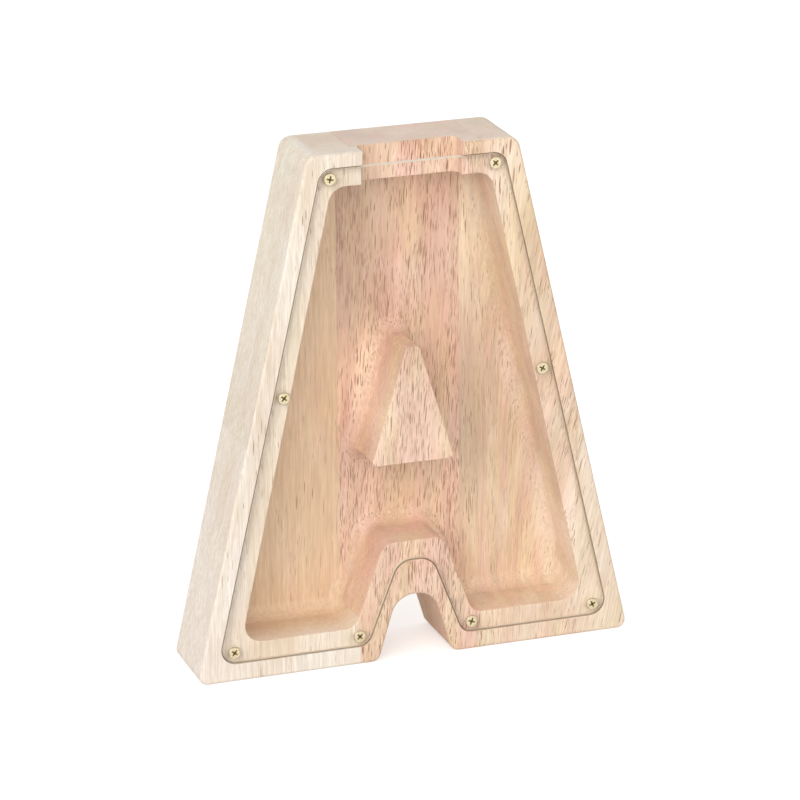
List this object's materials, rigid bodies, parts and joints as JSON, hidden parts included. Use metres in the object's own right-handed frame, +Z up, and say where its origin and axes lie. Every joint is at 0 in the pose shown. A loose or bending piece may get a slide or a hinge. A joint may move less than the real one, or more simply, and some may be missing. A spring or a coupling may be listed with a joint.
{
  "type": "money box",
  "caption": "Letter-shaped wooden money box, edge-glued from upright staves, with a coin slot in its top and a clear front cover held by small countersunk screws.",
  "frame": {"origin": "bottom centre of the box: on the surface its two feet stand on, midway between the sides and midway through the thickness", "axes": "+Z up, +Y towards the back, +X to the right seen from the front, so the clear cover faces -Y"},
  "size_m": [0.171, 0.032, 0.2],
  "materials": {
    "cream_wood": "sanded, unvarnished",
    "pale_wood": "sanded, unvarnished",
    "pink_wood": "sanded, unvarnished",
    "tan_wood": "sanded, unvarnished",
    "acrylic": "polished, clear",
    "brass": "bright plated"
  },
  "bodies": {
    "box": {"stave_left_edge": "cream_wood", "stave_left": "pale_wood", "stave_centre": "pink_wood", "stave_right": "tan_wood", "stave_right_edge": "pale_wood"},
    "cover": {"cover": "acrylic"},
    "screw_left_top": {"screw_left_top": "brass"},
    "screw_right_top": {"screw_right_top": "brass"},
    "screw_left_middle": {"screw_left_middle": "brass"},
    "screw_right_middle": {"screw_right_middle": "brass"},
    "screw_left_foot_outer": {"screw_left_foot_outer": "brass"},
    "screw_right_foot_outer": {"screw_right_foot_outer": "brass"},
    "screw_left_foot_inner": {"screw_left_foot_inner": "brass"},
    "screw_right_foot_inner": {"screw_right_foot_inner": "brass"}
  },
  "joints": [
    {"name": "cover_lift_off", "type": "slide", "parent": "box", "child": "cover", "axis": [0, -1, 0], "range_m": [0, 0.03]},
    {"name": "screw_left_top_back_out", "type": "slide", "parent": "cover", "child": "screw_left_top", "axis": [0, -1, 0], "range_m": [0, 0.015]},
    {"name": "screw_right_top_back_out", "type": "slide", "parent": "cover", "child": "screw_right_top", "axis": [0, -1, 0], "range_m": [0, 0.015]},
    {"name": "screw_left_middle_back_out", "type": "slide", "parent": "cover", "child": "screw_left_middle", "axis": [0, -1, 0], "range_m": [0, 0.015]},
    {"name": "screw_right_middle_back_out", "type": "slide", "parent": "cover", "child": "screw_right_middle", "axis": [0, -1, 0], "range_m": [0, 0.015]},
    {"name": "screw_left_foot_outer_back_out", "type": "slide", "parent": "cover", "child": "screw_left_foot_outer", "axis": [0, -1, 0], "range_m": [0, 0.015]},
    {"name": "screw_right_foot_outer_back_out", "type": "slide", "parent": "cover", "child": "screw_right_foot_outer", "axis": [0, -1, 0], "range_m": [0, 0.015]},
    {"name": "screw_left_foot_inner_back_out", "type": "slide", "parent": "cover", "child": "screw_left_foot_inner", "axis": [0, -1, 0], "range_m": [0, 0.015]},
    {"name": "screw_right_foot_inner_back_out", "type": "slide", "parent": "cover", "child": "screw_right_foot_inner", "axis": [0, -1, 0], "range_m": [0, 0.015]}
  ]
}
